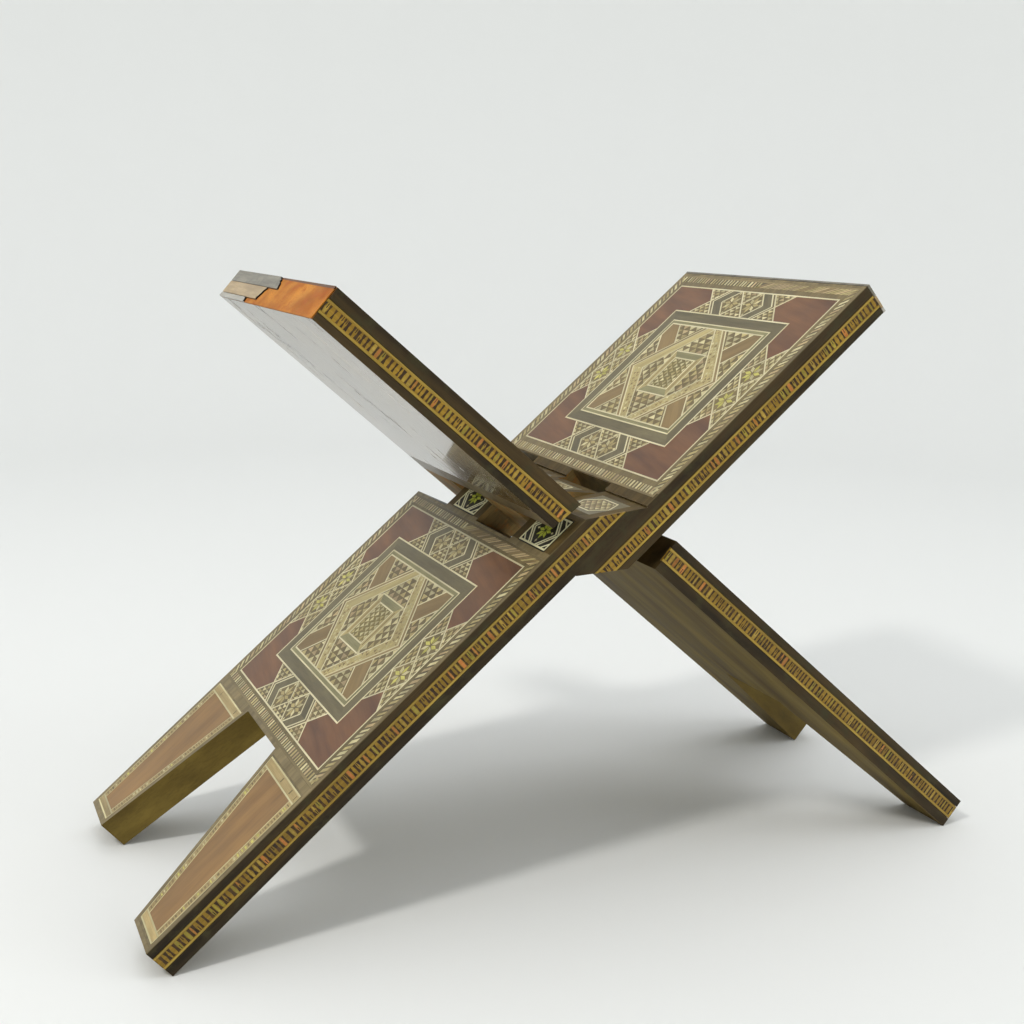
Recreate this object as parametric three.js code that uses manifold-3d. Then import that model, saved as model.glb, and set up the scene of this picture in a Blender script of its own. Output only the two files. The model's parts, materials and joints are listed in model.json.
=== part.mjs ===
// A folding Quran stand (rehal): two wooden boards that interlock at carved knuckles and open
// like an X. Each board is sawn from one half of a thick plank: its lower part, with the two
// legs, comes from one layer of the plank and its upper part, the book rest, from the other,
// and two fingers of full plank thickness join them. Marquetry sheets, tiles and mosaic bands
// are let into the wood.
//
// Board frame, in millimetres: x runs up the board from the hinge axis, y across it, and z
// through it, positive on the side of the marquetry. The stand's frame has its origin on the
// ground, midway between the feet, with the hinge axis along Y.

import * as THREE from 'three';
import { mergeVertices } from 'three/addons/utils/BufferGeometryUtils.js';
import Module from 'manifold-3d';

const wasm = await Module();
wasm.setup();

// Driving dimensions
const layer = 17;                 // one layer: half of the plank's thickness
const width = 171;                // board width, along the hinge axis
const lowerLength = 274;          // hinge axis to the end of the feet
const upperLength = 176;          // hinge axis to the top end of the book rest
const openAngle = THREE.MathUtils.degToRad(40.63);   // slope of each board when open
const kerf = 0.4;                 // sawn gap between the two layers when folded flat
const glueGap = 0.3;              // gap round and under every inlaid piece
const veneer = 1.2;               // thickness of every inlaid sheet, tile, band and strip

// Legs
const notchDepth = 94;            // height of the cut-out between the legs
const footWidth = 32;             // leg width at the foot
const legTopWidth = 58;           // leg width at the top of the cut-out

// Knuckle: two fingers a board, a quarter of the width each
const fingerCount = 4;
const fingerPlay = 0.5;           // total side play between neighbouring fingers
const bevelTopX = -2.6;           // where the upper bevel leaves the marquetry face
const bevelFootX = 24;            // where it meets the book rest
const bevelStep = 1.2;            // the book rest stands this much above the bevel's foot
const underBevelTipX = -22.9;     // where the under bevel starts, at mid plank
const underBevelEndX = -1.5;      // where it meets the underside
const restEnd = 24.6;             // end of the book rest over the other board's fingers
const apronEnd = 27.8;            // end of the lower part over the other board's fingers

// How the two boards' knuckles differ. drop: the knuckle sits this much down its board.
// restLean and apronLean: how far the ends beside the fingers lean, from the face to mid plank
// or to the underside, towards the top end of the board.
const knuckles = {
  board_a: { drop: 4, restLean: -2.5, apronLean: 7.4 },
  board_b: { drop: 0, restLean: 4, apronLean: 0 },
};

// Marquetry
const sheetMargin = 2;            // wood left round the large sheets
const legMargin = 2.5;            // wood left round the leg sheets
const sheetGap = 5;               // wood between the apron sheet and the leg sheets
const tileWidth = 28.7;           // knuckle tiles, across the finger
const tileLength = 20;            // knuckle tiles, along the board
const tileBelowBevel = 3.4;       // wood between a tile and the edge of the bevel
const bevelTileLength = 22;       // tiles on the bevels, down the slope
const bandTop = 12.8;             // mosaic band in the lower part's edges, from mid plank
const bandBottom = 5.4;
const restBandTop = -6.1;         // mosaic band in the book rest's edges, from mid plank
const restBandBottom = -13.1;

// Strips on the book rest's top end: name, from and to through the thickness
const endStrips = [
  { name: 'inner_end_strip', top: -kerf / 2, bottom: -6.9, colour: 0x4a4038 },
  { name: 'middle_end_strip', top: -7.2, bottom: -14.3, colour: 0xb89a64 },
  { name: 'outer_end_strip', top: -14.6, bottom: -layer, colour: 0x4a4038 },
];
// Board B has lost part of its strips: what is left runs from the far edge to a jagged break,
// given as a share of the width from the near edge, at each strip's top and bottom
const brokenAt = [
  [0.49, 0.45],
  [0.55, 0.58],
  [0.69, 0.68],
];

// Derived dimensions
const halfWidth = width / 2;
const fingerWidth = width / fingerCount;
const face = kerf / 2;            // both layers stop this far from mid plank
const pocket = veneer + glueGap;
const notchX = notchDepth - lowerLength;
const hingeHeight = lowerLength * Math.sin(openAngle) - face * Math.cos(openAngle);
const past = 5;                   // how far cutting bodies run past the wood

const colours = {
  walnut: 0x3a2a1e,
  marquetry: 0x8a6a4c,
  legSheet: 0xa07a58,
  tile: 0x6a5c3a,
  band: 0xb8862c,
};

function woodMaterial(colour, roughness = 0.45) {
  return new THREE.MeshStandardMaterial({ color: colour, roughness, metalness: 0 });
}

function outline(points) {
  return new THREE.Shape(points.map(([a, b]) => new THREE.Vector2(a, b)));
}

// A plan outline in x and y, made solid between two heights in z
function platePrism(points, bottom, top) {
  const geometry = new THREE.ExtrudeGeometry(outline(points), { depth: top - bottom, bevelEnabled: false });
  return geometry.translate(0, 0, bottom);
}

// A side profile in x and z, made solid between two places in y
function sidePrism(points, from, to) {
  const geometry = new THREE.ExtrudeGeometry(outline(points), { depth: to - from, bevelEnabled: false });
  return geometry.rotateX(Math.PI / 2).translate(0, to, 0);
}

function toSolid(geometry) {
  const bare = geometry.clone();
  bare.deleteAttribute('normal');
  bare.deleteAttribute('uv');
  const merged = mergeVertices(bare, 1e-4);
  return new wasm.Manifold(new wasm.Mesh({
    numProp: 3,
    vertProperties: new Float32Array(merged.attributes.position.array),
    triVerts: new Uint32Array(merged.index.array),
  }));
}

function toGeometry(solid) {
  const mesh = solid.getMesh();
  const geometry = new THREE.BufferGeometry();
  geometry.setAttribute('position', new THREE.BufferAttribute(mesh.vertProperties, 3));
  geometry.setIndex(new THREE.BufferAttribute(mesh.triVerts, 1));
  geometry.computeVertexNormals();
  return geometry;
}

function rectangle(x0, x1, y0, y1) {
  return [[x0, y0], [x1, y0], [x1, y1], [x0, y1]];
}

// The outline, grown outwards by a distance: each edge moves out and neighbours meet again
function grow(points, distance) {
  const moved = points.map((point, i) => {
    const next = points[(i + 1) % points.length];
    const along = new THREE.Vector2(next[0] - point[0], next[1] - point[1]).normalize();
    const out = new THREE.Vector2(along.y, -along.x).multiplyScalar(distance);
    return { at: new THREE.Vector2(point[0], point[1]).add(out), along };
  });
  return moved.map((edge, i) => {
    const before = moved[(i + points.length - 1) % points.length];
    const turn = before.along.cross(edge.along);
    const reach = edge.at.clone().sub(before.at).cross(edge.along) / turn;
    return before.at.clone().addScaledVector(before.along, reach).toArray();
  });
}

// Place along the board of the book rest's end, and of the apron's end, at a height in the plank
function restEndAt(z, { restLean }) {
  return restEnd + restLean * (-face - z) / (layer - face);
}

function apronEndAt(z, { drop, apronLean }) {
  return -apronEnd - drop + apronLean * (layer - z) / (layer - face);
}

// Side profile of one finger, running from the lower part to the book rest
function fingerProfile(drop) {
  return [
    [-apronEnd - past - drop, face],
    [-apronEnd - past - drop, layer],
    [bevelTopX - drop, layer],
    [bevelFootX - drop, -bevelStep],
    [bevelFootX - drop, -face],
    [restEnd + past, -face],
    [restEnd + past, -layer],
    [underBevelEndX - drop, -layer],
    [underBevelTipX - drop, -face],
    [underBevelTipX - drop, face],
  ];
}

// Centres of the board's own fingers, across the board: the first and third quarter
function fingerCentres() {
  return [0, 2].map((quarter) => -halfWidth + (quarter + 0.5) * fingerWidth);
}

// Each finger keeps its play on the sides that face another finger
function fingerSpan(centre) {
  const from = centre - fingerWidth / 2;
  const to = centre + fingerWidth / 2;
  return [from > -halfWidth ? from + fingerPlay / 2 : from, to - fingerPlay / 2];
}

function legOutline(side) {
  const outer = side * halfWidth;
  const points = [
    [-lowerLength, outer],
    [notchX, outer],
    [notchX, outer - side * legTopWidth],
    [-lowerLength, outer - side * footWidth],
  ];
  return side > 0 ? points.reverse() : points;
}

function legSheetOutline(side) {
  const outer = side * (halfWidth - legMargin);
  const top = notchX - sheetGap / 2;
  const foot = -lowerLength + legMargin;
  const spread = (legTopWidth - footWidth) / notchDepth;
  const sheetWidthAt = (x) => footWidth + (x + lowerLength) * spread - 2 * legMargin;
  const points = [
    [foot, outer],
    [top, outer],
    [top, outer - side * sheetWidthAt(top)],
    [foot, outer - side * sheetWidthAt(foot)],
  ];
  return side > 0 ? points.reverse() : points;
}

function bandOutlines(side, knuckle) {
  const { drop } = knuckle;
  const fingerSide = side < 0;
  const bevelXAt = (z) => bevelTopX - drop
    + (bevelFootX - bevelTopX) * (layer - z) / (layer + bevelStep);
  const underXAt = (z) => underBevelTipX - drop
    + (underBevelEndX - underBevelTipX) * (-face - z) / (layer - face);
  const lowerEnd = fingerSide
    ? [bevelXAt(bandBottom), bevelXAt(bandTop)]
    : [apronEndAt(bandBottom, knuckle), apronEndAt(bandTop, knuckle)];
  const restStart = fingerSide
    ? [underXAt(restBandBottom), underXAt(restBandTop)]
    : [restEndAt(restBandBottom, knuckle), restEndAt(restBandTop, knuckle)];
  return {
    lower: [
      [-lowerLength, bandBottom],
      [lowerEnd[0], bandBottom],
      [lowerEnd[1], bandTop],
      [-lowerLength, bandTop],
    ],
    rest: [
      [restStart[0], restBandBottom],
      [upperLength - pocket, restBandBottom],
      [upperLength - pocket, restBandTop],
      [restStart[1], restBandTop],
    ],
  };
}

// Grooves run on past both ends of their band
function grooveOutline(points) {
  const grown = grow(points, glueGap);
  return [
    [grown[0][0] - past, grown[0][1]],
    [grown[1][0] + past, grown[1][1]],
    [grown[2][0] + past, grown[2][1]],
    [grown[3][0] - past, grown[3][1]],
  ];
}

function bandPrism(points, side, depth, overrun) {
  const outer = side * (halfWidth + overrun);
  const inner = side * (halfWidth - depth);
  return sidePrism(points, Math.min(outer, inner), Math.max(outer, inner));
}

// A tile lying on the bevel: built flat, then turned to the bevel's slope
function bevelTile(centreY, drop, grown, bottom, top) {
  const run = bevelFootX - bevelTopX;
  const fall = layer + bevelStep;
  const points = rectangle(-bevelTileLength / 2, bevelTileLength / 2, -tileWidth / 2, tileWidth / 2);
  const plate = platePrism(grow(points, grown), bottom, top);
  plate.rotateY(Math.atan2(fall, run));
  return plate.translate(bevelTopX - drop + run / 2, centreY, layer - fall / 2);
}

function tileOutline(centreY, drop) {
  const top = bevelTopX - drop - tileBelowBevel;
  return rectangle(top - tileLength, top, centreY - tileWidth / 2, centreY + tileWidth / 2);
}

function apronSheetOutline(drop) {
  const y = halfWidth - sheetMargin;
  return rectangle(notchX + sheetGap / 2, -apronEnd - drop - sheetMargin, -y, y);
}

function restSheetOutline() {
  const y = halfWidth - sheetMargin;
  return rectangle(restEnd + sheetMargin / 2, upperLength - pocket - sheetMargin, -y, y);
}

// The carved wood of one board, with pockets and grooves for its inlay
function boardCore(knuckle) {
  const { drop } = knuckle;
  const apronProfile = [
    [notchX, face],
    [apronEndAt(face, knuckle), face],
    [apronEndAt(layer, knuckle), layer],
    [notchX, layer],
  ];
  let core = toSolid(sidePrism(apronProfile, -halfWidth, halfWidth));
  const restProfile = [
    [restEndAt(-face, knuckle), -face],
    [restEndAt(-layer, knuckle), -layer],
    [upperLength - pocket, -layer],
    [upperLength - pocket, -face],
  ];
  core = core.add(toSolid(sidePrism(restProfile, -halfWidth, halfWidth)));
  for (const side of [-1, 1]) {
    core = core.add(toSolid(platePrism(legOutline(side), face, layer)));
  }
  for (const centre of fingerCentres()) {
    const [from, to] = fingerSpan(centre);
    core = core.add(toSolid(sidePrism(fingerProfile(drop), from, to)));
  }
  const sheets = [
    [apronSheetOutline(drop), layer],
    [restSheetOutline(), -face],
    [legSheetOutline(-1), layer],
    [legSheetOutline(1), layer],
    ...fingerCentres().map((centre) => [tileOutline(centre, drop), layer]),
  ];
  for (const [points, height] of sheets) {
    core = core.subtract(toSolid(platePrism(grow(points, glueGap), height - pocket, height + past)));
  }
  for (const centre of fingerCentres()) {
    core = core.subtract(toSolid(bevelTile(centre, drop, glueGap, -pocket, past)));
  }
  for (const side of [-1, 1]) {
    for (const points of Object.values(bandOutlines(side, knuckle))) {
      core = core.subtract(toSolid(bandPrism(grooveOutline(points), side, pocket, past)));
    }
  }
  return toGeometry(core);
}

function addMesh(group, name, geometry, material) {
  const mesh = new THREE.Mesh(geometry, material);
  mesh.name = name;
  group.add(mesh);
}

function addSheets(group, prefix, drop) {
  const apron = platePrism(apronSheetOutline(drop), layer - veneer, layer);
  addMesh(group, `${prefix}_apron_sheet`, apron, woodMaterial(colours.marquetry));
  const rest = platePrism(restSheetOutline(), -face - veneer, -face);
  addMesh(group, `${prefix}_book_rest_sheet`, rest, woodMaterial(colours.marquetry));
}

function addLegSheets(group, prefix, sideNames) {
  for (const side of [-1, 1]) {
    const sheet = platePrism(legSheetOutline(side), layer - veneer, layer);
    addMesh(group, `${prefix}_${sideNames[side]}_leg_sheet`, sheet, woodMaterial(colours.legSheet));
  }
}

function addTiles(group, prefix, drop) {
  fingerCentres().forEach((centre, i) => {
    const place = ['edge', 'middle'][i];
    const tile = platePrism(tileOutline(centre, drop), layer - veneer, layer);
    addMesh(group, `${prefix}_${place}_finger_tile`, tile, woodMaterial(colours.tile));
    const slope = bevelTile(centre, drop, 0, -veneer, 0);
    addMesh(group, `${prefix}_${place}_bevel_tile`, slope, woodMaterial(colours.tile));
  });
}

function addBands(group, prefix, knuckle, sideNames) {
  for (const side of [-1, 1]) {
    for (const [part, points] of Object.entries(bandOutlines(side, knuckle))) {
      const band = bandPrism(points, side, veneer, 0);
      addMesh(group, `${prefix}_${sideNames[side]}_${part}_band`, band, woodMaterial(colours.band));
    }
  }
}

// The top end's strips; a broken one keeps only the part from its far edge to the break
function addEndStrips(group, prefix, broken) {
  endStrips.forEach((strip, i) => {
    const breaks = broken ? brokenAt[i].map((share) => halfWidth - share * width) : [halfWidth, halfWidth];
    const points = [
      [-halfWidth, strip.bottom],
      [breaks[1], strip.bottom],
      [breaks[0], strip.top],
      [-halfWidth, strip.top],
    ];
    const geometry = new THREE.ExtrudeGeometry(outline(points), { depth: veneer, bevelEnabled: false });
    geometry.rotateX(Math.PI / 2).rotateZ(Math.PI / 2).translate(upperLength - veneer, 0, 0);
    addMesh(group, `${prefix}_${strip.name}`, geometry, woodMaterial(strip.colour));
  });
}

function makeBoard({ prefix, broken, turn, sideNames }) {
  const knuckle = knuckles[prefix];
  const sloped = new THREE.Group();
  sloped.rotation.y = -openAngle;
  addMesh(sloped, `${prefix}_core`, boardCore(knuckle), woodMaterial(colours.walnut));
  addSheets(sloped, prefix, knuckle.drop);
  addLegSheets(sloped, prefix, sideNames);
  addTiles(sloped, prefix, knuckle.drop);
  addBands(sloped, prefix, knuckle, sideNames);
  addEndStrips(sloped, prefix, broken);
  const board = new THREE.Group();
  board.position.z = hingeHeight;
  board.rotation.z = turn;
  board.add(sloped);
  return board;
}

const stand = new THREE.Group();
stand.add(makeBoard({
  prefix: 'board_a',
  broken: false,
  turn: 0,
  sideNames: { [-1]: 'near', 1: 'far' },
}));
stand.add(makeBoard({
  prefix: 'board_b',
  broken: true,
  turn: Math.PI,
  sideNames: { [-1]: 'far', 1: 'near' },
}));

export default stand;
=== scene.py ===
"""Looks of a folding Quran stand: varnished walnut boards, inlaid marquetry and mosaic bands.

Everything is worked out in millimetres in a board's own frame, as in the CAD model: x runs up the
board from the hinge axis, y across it and z through it, positive on the side of the marquetry.
"""
import json
import math
import random

import bmesh
import bpy
from mathutils import Matrix, Vector


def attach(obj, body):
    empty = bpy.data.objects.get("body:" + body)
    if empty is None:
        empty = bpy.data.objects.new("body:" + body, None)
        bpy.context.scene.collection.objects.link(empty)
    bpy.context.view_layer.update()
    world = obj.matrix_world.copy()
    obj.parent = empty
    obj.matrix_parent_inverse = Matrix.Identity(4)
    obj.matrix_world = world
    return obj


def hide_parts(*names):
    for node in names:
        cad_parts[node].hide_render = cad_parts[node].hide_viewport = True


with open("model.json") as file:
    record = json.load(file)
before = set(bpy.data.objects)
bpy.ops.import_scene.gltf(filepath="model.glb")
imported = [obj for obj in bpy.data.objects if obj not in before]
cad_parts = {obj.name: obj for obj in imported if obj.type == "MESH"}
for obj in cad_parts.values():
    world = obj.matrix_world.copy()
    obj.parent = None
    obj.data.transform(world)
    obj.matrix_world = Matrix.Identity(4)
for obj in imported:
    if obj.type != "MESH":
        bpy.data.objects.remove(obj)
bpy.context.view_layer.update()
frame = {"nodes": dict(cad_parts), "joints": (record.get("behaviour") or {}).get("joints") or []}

MM = 0.001
LAYER = 17.0  # thickness of one board, half of the plank
WIDTH = 171.0
UPPER = 176.0  # hinge axis to the top end
NOTCH_REACH = 164.4  # the walls between the legs are further down than this
SLOPE = math.radians(40.63)  # of each board to the floor
HINGE = Vector(frame["joints"][0]["pos_m"])
rng = random.Random(7)


def new_mesh(name, bm, materials=()):
    """A mesh made of a bmesh, which is used up."""
    mesh = bpy.data.meshes.new(name)
    bm.to_mesh(mesh)
    bm.free()
    for material in materials:
        mesh.materials.append(material)
    return mesh


def new_object(name, data):
    """An object linked to the scene."""
    thing = bpy.data.objects.new(name, data)
    bpy.context.scene.collection.objects.link(thing)
    return thing


# ---------------- frame of each board

class Board:
    """One board's frame, and its CAD nodes seen from it."""

    def __init__(self, name, turn):
        self.name = name
        self.to_world = (Matrix.Translation(HINGE) @ Matrix.Rotation(turn, 4, "Z")
                         @ Matrix.Rotation(-SLOPE, 4, "Y") @ Matrix.Scale(MM, 4))
        self.to_board = self.to_world.inverted()

    def measure(self, node):
        """The points of a CAD node in this frame, and the low and high corners of their box."""
        mesh = frame["nodes"][f"{self.name}_{node}"].data
        points = [self.to_board @ v.co for v in mesh.vertices]
        low, high = ([pick(p[i] for p in points) for i in range(3)] for pick in (min, max))
        return points, low, high


# ---------------- materials

def feed(tree, socket, value):
    """Gives a socket its value, which may be another node's output."""
    if isinstance(value, bpy.types.NodeSocket):
        tree.links.new(value, socket)
    else:
        socket.default_value = value


def add_node(tree, kind, **inputs):
    """A shader node with its inputs, each given by name."""
    node = tree.nodes.new(kind)
    for key, value in inputs.items():
        feed(tree, node.inputs[key.replace("_", " ")], value)
    return node


def math_node(tree, operation, a, b):
    node = tree.nodes.new("ShaderNodeMath")
    node.operation = operation
    feed(tree, node.inputs[0], a)
    feed(tree, node.inputs[1], b)
    return node.outputs[0]


def mix_colour(tree, factor, a, b, blend="MIX"):
    node = tree.nodes.new("ShaderNodeMix")
    node.data_type = "RGBA"
    node.blend_type = blend
    for index, value in ((0, factor), (6, a), (7, b)):  # its colour sockets come after six others
        feed(tree, node.inputs[index], value)
    return node.outputs[2]


def own_attribute(tree, name):
    """A mesh attribute: "grain" is a place in the piece's own wood, "tone" its lightness."""
    node = add_node(tree, "ShaderNodeAttribute")
    node.attribute_name = name
    return node


def stretched_noise(tree, grain, along, across, detail=5.0, roughness=0.6):
    """Noise drawn out along the grain; the scales are cycles per millimetre."""
    mapping = add_node(tree, "ShaderNodeMapping", Vector=grain, Scale=(along, across, across))
    noise = add_node(tree, "ShaderNodeTexNoise", Vector=mapping.outputs[0], Scale=1.0,
                     Detail=detail, Roughness=roughness)
    return noise.outputs["Fac"]


def ramp(tree, value, low, high, out_low=0.0, out_high=1.0):
    node = add_node(tree, "ShaderNodeMapRange", Value=value, From_Min=low, From_Max=high,
                    To_Min=out_low, To_Max=out_high)
    return node.outputs[0]


def paint(red, green, blue):
    """A screen colour, 0 to 255, as the linear colour that shaders take."""
    linear = [c / 255 / 12.92 if c <= 10 else ((c / 255 + 0.055) / 1.055) ** 2.4
              for c in (red, green, blue)]
    return (*linear, 1.0)


def wood(name, dark, light, tone=0.2, figure=(0.02, 0.3), fibre=(0.12, 3.0), fibre_depth=0.3,
         roughness=(0.35, 0.5), varnish=0.32, varnish_roughness=0.2, relief=0.05, grime=None):
    """Wood, bone or stained veneer under varnish, between a dark and a light screen colour.

    figure and fibre are noise scales (along, across the grain) in cycles per millimetre. tone is
    how much one piece may differ from the next, and grime the colour of dirty patches."""
    material = bpy.data.materials.new(name)
    material.use_nodes = True
    tree = material.node_tree
    shader = tree.nodes["Principled BSDF"]
    vector = own_attribute(tree, "grain").outputs["Vector"]
    piece = own_attribute(tree, "tone")
    broad = stretched_noise(tree, vector, *figure, detail=3.0)
    fine = stretched_noise(tree, vector, *fibre, detail=4.0, roughness=0.7)
    blotch = stretched_noise(tree, vector, 0.035, 0.05, detail=2.0)
    colour = mix_colour(tree, ramp(tree, broad, 0.34, 0.66), paint(*dark), paint(*light))
    pores = ramp(tree, fine, 0.30, 0.56, 1.0 - fibre_depth, 1.0)
    shade = math_node(tree, "MULTIPLY", pores, ramp(tree, blotch, 0.25, 0.75, 0.82, 1.14))
    shade = math_node(tree, "MULTIPLY", shade,
                      ramp(tree, piece.outputs["Fac"], 0.0, 1.0, 1.0 - tone, 1.0 + tone))
    shade_colour = add_node(tree, "ShaderNodeCombineColor", Red=shade, Green=shade, Blue=shade)
    colour = mix_colour(tree, 1.0, colour, shade_colour.outputs[0], "MULTIPLY")
    if grime:
        dirty = ramp(tree, stretched_noise(tree, vector, 0.09, 0.12, detail=5.0, roughness=0.7),
                     0.5, 0.68)
        colour = mix_colour(tree, dirty, colour, paint(*grime))
    tree.links.new(colour, shader.inputs["Base Color"])
    rough = ramp(tree, math_node(tree, "ADD", fine, blotch), 0.6, 1.4, *roughness)
    tree.links.new(rough, shader.inputs["Roughness"])
    for socket, value in (("Specular IOR Level", 0.15), ("Coat Weight", varnish),
                          ("Coat Roughness", varnish_roughness), ("Coat IOR", 1.5)):
        shader.inputs[socket].default_value = value
    surface = add_node(tree, "ShaderNodeBump", Height=fine, Strength=relief, Distance=0.0004)
    tree.links.new(surface.outputs[0], shader.inputs["Normal"])
    return material


def brushed_varnish(material):
    """Thick varnish brushed along the board: long ridges, and dark cracks that follow them."""
    tree = material.node_tree
    shader = tree.nodes["Principled BSDF"]
    vector = own_attribute(tree, "grain").outputs["Vector"]
    ridges = stretched_noise(tree, vector, 0.012, 0.11, detail=2.0)
    wander = stretched_noise(tree, vector, 0.012, 0.04, detail=4.0)
    split = math_node(tree, "ABSOLUTE", math_node(tree, "SUBTRACT", wander, 0.5), 0.0)
    crack = ramp(tree, split, 0.0, 0.022)
    broken = ramp(tree, stretched_noise(tree, vector, 0.016, 0.05, detail=2.0), 0.38, 0.46)
    crack = math_node(tree, "MAXIMUM", crack, broken)
    height = math_node(tree, "ADD", math_node(tree, "MULTIPLY", ridges, 0.12), crack)
    surface = add_node(tree, "ShaderNodeBump", Height=height, Strength=0.5, Distance=0.0012)
    tree.links.new(surface.outputs[0], shader.inputs["Coat Normal"])
    colour = shader.inputs["Base Color"].links[0].from_socket
    colour = mix_colour(tree, crack, paint(24, 18, 12), colour)
    tree.links.new(colour, shader.inputs["Base Color"])
    return material


WALNUT = wood("walnut_stained", (38, 29, 14), (76, 60, 32), figure=(0.008, 0.09), fibre=(0.05, 2.0),
              fibre_depth=0.35, varnish=0.05, grime=(58, 53, 30))
WALNUT_EDGE = wood("walnut_worn_arris", (74, 62, 36), (108, 92, 58), figure=(0.03, 0.3), varnish=0.15,
                   varnish_roughness=0.3)
FACE_WOOD = wood("walnut_face_margin", (104, 90, 57), (136, 119, 80), figure=(0.02, 0.2), varnish=0.3)
UNDERSIDE = brushed_varnish(wood("walnut_underside", (92, 76, 44), (134, 114, 72),
                                 figure=(0.01, 0.05), fibre=(0.05, 2.2), varnish=0.9,
                                 varnish_roughness=0.1, grime=(56, 46, 28)))
UNDERSIDE_WORN = wood("walnut_underside_at_knuckle", (86, 72, 46), (128, 108, 72), figure=(0.02, 0.14),
                      varnish=0.55, varnish_roughness=0.4, grime=(60, 50, 34))
KNUCKLE_WOOD = wood("walnut_knuckle_top", (64, 51, 24), (96, 78, 41), figure=(0.02, 0.14),
                    roughness=(0.5, 0.65), varnish=0.05)
RAW_WOOD = wood("walnut_inner_face", (82, 66, 26), (128, 108, 50), figure=(0.007, 0.035),
                fibre=(0.03, 0.9), fibre_depth=0.22, roughness=(0.6, 0.75), varnish=0.0, relief=0.12)
JOINT_WOOD = wood("bare_joint_wood", (108, 90, 52), (150, 124, 76), figure=(0.03, 0.12),
                  roughness=(0.55, 0.7), varnish=0.05, varnish_roughness=0.5, relief=0.2,
                  grime=(156, 100, 38))
BARE_END = wood("bare_end_wood", (154, 84, 24), (198, 132, 54), figure=(0.03, 0.05), fibre=(1.4, 1.8),
                fibre_depth=0.25, roughness=(0.55, 0.75), varnish=0.05, varnish_roughness=0.5, relief=0.3,
                grime=(166, 90, 34))
BARE_RIM = wood("stained_end_rim", (84, 52, 26), (112, 70, 36), figure=(0.05, 0.1), varnish=0.1)
GROUND = wood("marquetry_dark_ground", (106, 91, 55), (132, 115, 74))
BORDER_WOOD = wood("border_brown_ground", (84, 72, 46), (108, 94, 64), figure=(0.03, 0.2))
BONE = wood("bone_line", (200, 190, 150), (222, 213, 176), tone=0.1, fibre_depth=0.12)
CREAM = wood("cream_mosaic", (178, 166, 120), (208, 198, 154), tone=0.22, fibre_depth=0.2)
BLUSH = wood("pink_mosaic", (164, 142, 102), (188, 166, 122), tone=0.2, fibre_depth=0.2)
STAR = wood("yellow_green_star", (178, 170, 80), (206, 198, 108), tone=0.2)
TILE_STAR = wood("bright_tile_star", (168, 176, 50), (196, 200, 84), tone=0.15)
TILE_LINE = wood("bright_tile_line", (218, 212, 166), (236, 230, 190), tone=0.08, fibre_depth=0.1)
RED_WOOD = wood("red_brown_field", (92, 58, 34), (120, 80, 48), tone=0.1, figure=(0.015, 0.1),
                fibre=(0.06, 2.0), fibre_depth=0.18, varnish=0.4)
GREY_WOOD = wood("grey_olive_frame", (94, 85, 58), (113, 103, 73), tone=0.1, figure=(0.02, 0.2))
SAGE_WOOD = wood("sage_centre_frame", (122, 116, 78), (146, 140, 98), tone=0.1, figure=(0.02, 0.2))
OCHRE_GROUND = wood("ochre_centre_ground", (118, 104, 52), (142, 126, 70))
TAN_WOOD = wood("plain_tan_veneer", (124, 104, 66), (148, 126, 82), tone=0.16, figure=(0.02, 0.22))
BAR_WOOD = wood("brown_corner_bar", (118, 96, 58), (142, 118, 74), tone=0.14, figure=(0.01, 0.1),
                fibre_depth=0.15)
BAND_TAN = wood("pale_mosaic_band", (160, 144, 94), (186, 170, 116), tone=0.12)
LEG_WOOD = wood("leg_veneer", (124, 92, 52), (145, 110, 64), tone=0.05, figure=(0.012, 0.08),
                fibre=(0.06, 1.8), fibre_depth=0.2, varnish=0.3, varnish_roughness=0.25)
LEG_BAND = wood("leg_border_veneer", (152, 132, 84), (176, 154, 104), tone=0.14)
OCHRE = wood("ochre_edge_mosaic", (130, 99, 21), (160, 126, 35), tone=0.2, figure=(0.05, 0.4))
ORANGE = wood("orange_edge_slip", (168, 102, 40), (186, 120, 58), tone=0.2)
LIME = wood("yellow_green_edge_slip", (136, 122, 36), (158, 142, 54), tone=0.2)
PALE_LINE = wood("pale_edge_line", (150, 122, 42), (176, 148, 62), tone=0.14)
DARK_TICK = wood("dark_edge_tick", (44, 29, 10), (72, 50, 20), tone=0.3)
BLACK_TILE = wood("black_tile_ground", (26, 24, 16), (44, 40, 28), varnish=0.3)
STRIP_GREY = wood("grey_end_strip", (112, 107, 95), (143, 138, 123), tone=0.1, roughness=(0.4, 0.6),
                  grime=(96, 92, 84))
STRIP_TAN = wood("tan_end_strip", (160, 136, 98), (186, 162, 124), tone=0.1, roughness=(0.4, 0.6))
STRIP_PALE = wood("pale_end_strip", (160, 156, 146), (186, 182, 172), tone=0.1, roughness=(0.4, 0.6))
# dark wood for the broken veneer's edge: dirt, and painted shade of the step beside it
PAINTED_SHADE_AND_DIRT = wood("dirt_in_crack", (26, 20, 14), (44, 34, 24), varnish=0.1, varnish_roughness=0.5)


# ---------------- inlay work

SMALLEST = 0.02  # pieces of less than this area are left out


def area(outline):
    return 0.5 * sum(a[0] * b[1] - b[0] * a[1] for a, b in zip(outline, outline[1:] + outline[:1]))


def ordered(outline):
    """The same outline, counter-clockwise."""
    return outline if area(outline) > 0 else outline[::-1]


def box(u0, v0, u1, v1):
    return [(u0, v0), (u1, v0), (u1, v1), (u0, v1)]


def rectangle(half_u, half_v):
    """A box round the origin."""
    return box(-half_u, -half_v, half_u, half_v)


def mirrored(points, flip_u, flip_v):
    return [(u * flip_u, v * flip_v) for u, v in points]


QUARTERS = [(fu, fv) for fu in (1, -1) for fv in (1, -1)]


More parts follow.
